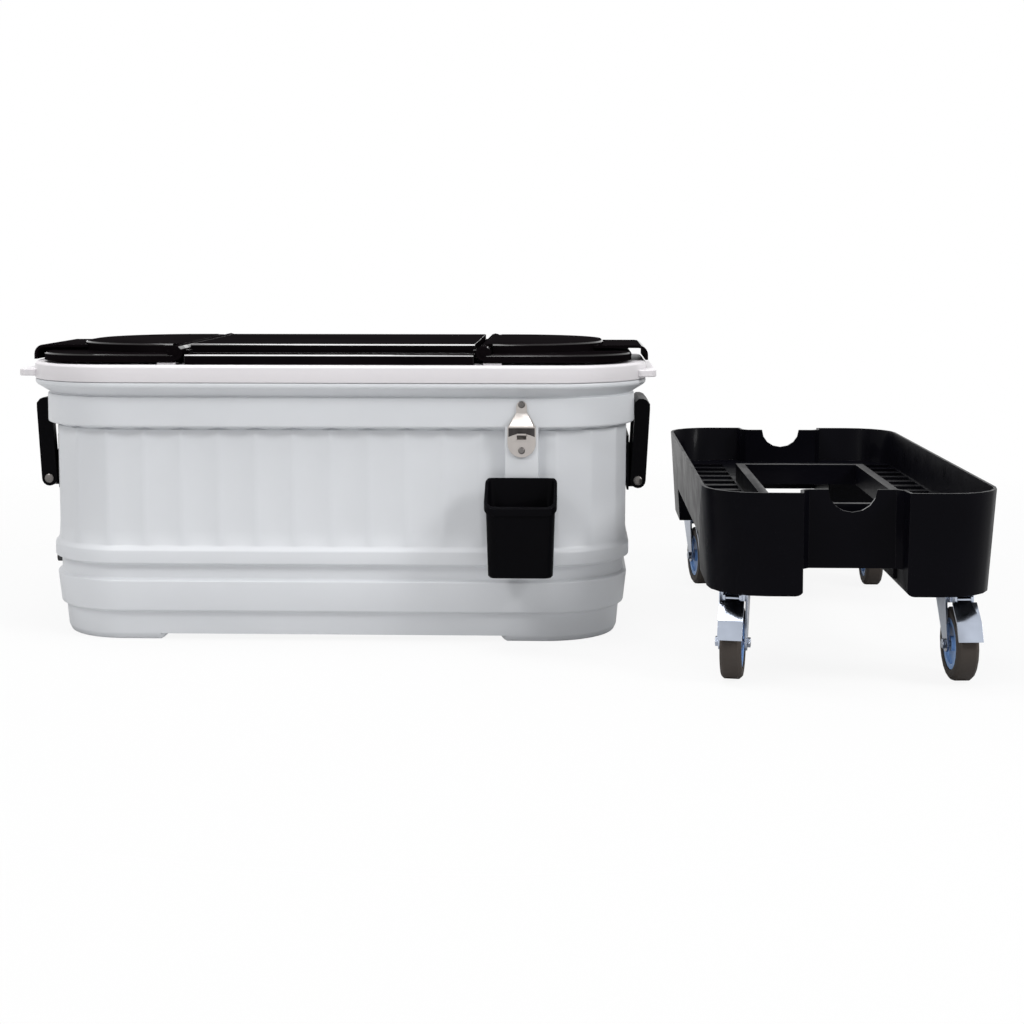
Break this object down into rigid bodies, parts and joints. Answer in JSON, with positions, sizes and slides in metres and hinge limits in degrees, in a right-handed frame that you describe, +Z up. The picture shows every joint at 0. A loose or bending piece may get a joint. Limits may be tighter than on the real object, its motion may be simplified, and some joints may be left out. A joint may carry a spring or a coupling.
{
  "type": "party bar cooler",
  "caption": "Insulated party cooler with two lid leaves, swing handles, bottle opener and cap catcher, beside its wheeled base on four swivel casters.",
  "frame": {"origin": "on the floor, below the middle of the whole object", "axes": "+X along the cooler towards the wheeled base, -Y towards the cooler's front, +Z up"},
  "size_m": [1.3604, 0.852, 0.4275],
  "materials": {
    "shell_plastic": "fine texture",
    "frame_plastic": "satin",
    "insulation": "rigid foam",
    "smoked_plastic": "glossy",
    "drain_plastic": "matt",
    "stainless_steel": "brushed",
    "black_plastic": "satin",
    "base_plastic": "satin",
    "zinc_plate": "bright zinc",
    "hub_plastic": "satin",
    "tread": "matt"
  },
  "bodies": {
    "cooler_and_base": {"outer_shell": "shell_plastic", "foam_core": "insulation", "inner_liner": "shell_plastic", "top_frame": "frame_plastic", "drain_spout": "drain_plastic", "drain_nut": "drain_plastic", "lid_center": "smoked_plastic", "hinge_pin_left": "stainless_steel", "hinge_pin_right": "stainless_steel", "bottle_opener": "stainless_steel", "opener_screw_top": "stainless_steel", "opener_screw_bottom": "stainless_steel", "catcher_bracket": "black_plastic", "catcher_screw_left": "stainless_steel", "catcher_screw_right": "stainless_steel", "handle_bracket_left": "black_plastic", "handle_bracket_right": "black_plastic", "pivot_screw_left_front": "stainless_steel", "pivot_screw_left_back": "stainless_steel", "pivot_screw_right_front": "stainless_steel", "pivot_screw_right_back": "stainless_steel", "base_tray": "base_plastic", "caster_front_left_head": "zinc_plate", "caster_front_left_stem_nut": "zinc_plate", "caster_front_right_head": "zinc_plate", "caster_front_right_stem_nut": "zinc_plate", "caster_back_left_head": "zinc_plate", "caster_back_left_stem_nut": "zinc_plate", "caster_back_right_head": "zinc_plate", "caster_back_right_stem_nut": "zinc_plate"},
    "drain_plug": {"drain_plug": "drain_plastic"},
    "leaf_left": {"lid_leaf_left": "smoked_plastic"},
    "leaf_right": {"lid_leaf_right": "smoked_plastic"},
    "catcher": {"cap_catcher": "black_plastic"},
    "handle_left": {"handle_left": "black_plastic"},
    "handle_right": {"handle_right": "black_plastic"},
    "caster_front_left_swivel": {"caster_front_left_fork": "zinc_plate", "caster_front_left_axle_bolt": "zinc_plate"},
    "caster_front_left_wheel": {"caster_front_left_hub": "hub_plastic", "caster_front_left_tyre": "tread"},
    "caster_front_left_brake": {"caster_front_left_pedal": "zinc_plate"},
    "caster_front_right_swivel": {"caster_front_right_fork": "zinc_plate", "caster_front_right_axle_bolt": "zinc_plate"},
    "caster_front_right_wheel": {"caster_front_right_hub": "hub_plastic", "caster_front_right_tyre": "tread"},
    "caster_front_right_brake": {"caster_front_right_pedal": "zinc_plate"},
    "caster_back_left_swivel": {"caster_back_left_fork": "zinc_plate", "caster_back_left_axle_bolt": "zinc_plate"},
    "caster_back_left_wheel": {"caster_back_left_hub": "hub_plastic", "caster_back_left_tyre": "tread"},
    "caster_back_left_brake": {"caster_back_left_pedal": "zinc_plate"},
    "caster_back_right_swivel": {"caster_back_right_fork": "zinc_plate", "caster_back_right_axle_bolt": "zinc_plate"},
    "caster_back_right_wheel": {"caster_back_right_hub": "hub_plastic", "caster_back_right_tyre": "tread"},
    "caster_back_right_brake": {"caster_back_right_pedal": "zinc_plate"}
  },
  "joints": [
    {"name": "drain_plug_pull", "type": "slide", "parent": "cooler_and_base", "child": "drain_plug", "axis": [-1, 0, 0], "range_m": [0, 0.025]},
    {"name": "lid_left_hinge", "type": "hinge", "parent": "cooler_and_base", "child": "leaf_left", "pos_m": [-0.43308, 0.025, 0.4165], "axis": [0, 1, 0], "range_deg": [0, 100]},
    {"name": "lid_right_hinge", "type": "hinge", "parent": "cooler_and_base", "child": "leaf_right", "pos_m": [0.00393, 0.025, 0.4165], "axis": [0, -1, 0], "range_deg": [0, 100]},
    {"name": "cap_catcher_slide", "type": "slide", "parent": "cooler_and_base", "child": "catcher", "axis": [0, 0, 1], "range_m": [0, 0.0275]},
    {"name": "handle_left_pivot", "type": "hinge", "parent": "cooler_and_base", "child": "handle_left", "pos_m": [-0.65658, 0.025, 0.22], "axis": [0, -1, 0], "range_deg": [0, 45]},
    {"name": "handle_right_pivot", "type": "hinge", "parent": "cooler_and_base", "child": "handle_right", "pos_m": [0.22743, 0.025, 0.22], "axis": [0, 1, 0], "range_deg": [0, 45]},
    {"name": "caster_front_left_turn", "type": "hinge", "parent": "cooler_and_base", "child": "caster_front_left_swivel", "pos_m": [0.34482, -0.335, 0.1254], "axis": [0, 0, 1], "continuous": true},
    {"name": "caster_front_left_roll", "type": "hinge", "parent": "caster_front_left_swivel", "child": "caster_front_left_wheel", "pos_m": [0.34057, -0.35913, 0.0482], "axis": [0.9848, -0.1736, 0], "continuous": true},
    {"name": "caster_front_left_press", "type": "hinge", "parent": "caster_front_left_swivel", "child": "caster_front_left_brake", "pos_m": [0.33788, -0.37439, 0.1095], "axis": [0.9848, -0.1736, 0], "range_deg": [0, 6]},
    {"name": "caster_front_right_turn", "type": "hinge", "parent": "cooler_and_base", "child": "caster_front_right_swivel", "pos_m": [0.63403, -0.335, 0.1254], "axis": [0, 0, 1], "continuous": true},
    {"name": "caster_front_right_roll", "type": "hinge", "parent": "caster_front_right_swivel", "child": "caster_front_right_wheel", "pos_m": [0.63531, -0.35947, 0.0482], "axis": [0.9986, 0.0523, 0], "continuous": true},
    {"name": "caster_front_right_press", "type": "hinge", "parent": "caster_front_right_swivel", "child": "caster_front_right_brake", "pos_m": [0.63612, -0.37495, 0.1095], "axis": [0.9986, 0.0523, 0], "range_deg": [0, 6]},
    {"name": "caster_back_left_turn", "type": "hinge", "parent": "cooler_and_base", "child": "caster_back_left_swivel", "pos_m": [0.34482, 0.335, 0.1254], "axis": [0, 0, 1], "continuous": true},
    {"name": "caster_back_left_roll", "type": "hinge", "parent": "caster_back_left_swivel", "child": "caster_back_left_wheel", "pos_m": [0.34866, 0.3108, 0.0482], "axis": [0.9877, 0.1564, 0], "continuous": true},
    {"name": "caster_back_left_press", "type": "hinge", "parent": "caster_back_left_swivel", "child": "caster_back_left_brake", "pos_m": [0.35108, 0.29549, 0.1095], "axis": [0.9877, 0.1564, 0], "range_deg": [0, 6]},
    {"name": "caster_back_right_turn", "type": "hinge", "parent": "cooler_and_base", "child": "caster_back_right_swivel", "pos_m": [0.63403, 0.335, 0.1254], "axis": [0, 0, 1], "continuous": true},
    {"name": "caster_back_right_roll", "type": "hinge", "parent": "caster_back_right_swivel", "child": "caster_back_right_wheel", "pos_m": [0.63403, 0.3105, 0.0482], "axis": [1, 0, 0], "continuous": true},
    {"name": "caster_back_right_press", "type": "hinge", "parent": "caster_back_right_swivel", "child": "caster_back_right_brake", "pos_m": [0.63403, 0.295, 0.1095], "axis": [1, 0, 0], "range_deg": [0, 6]}
  ]
}
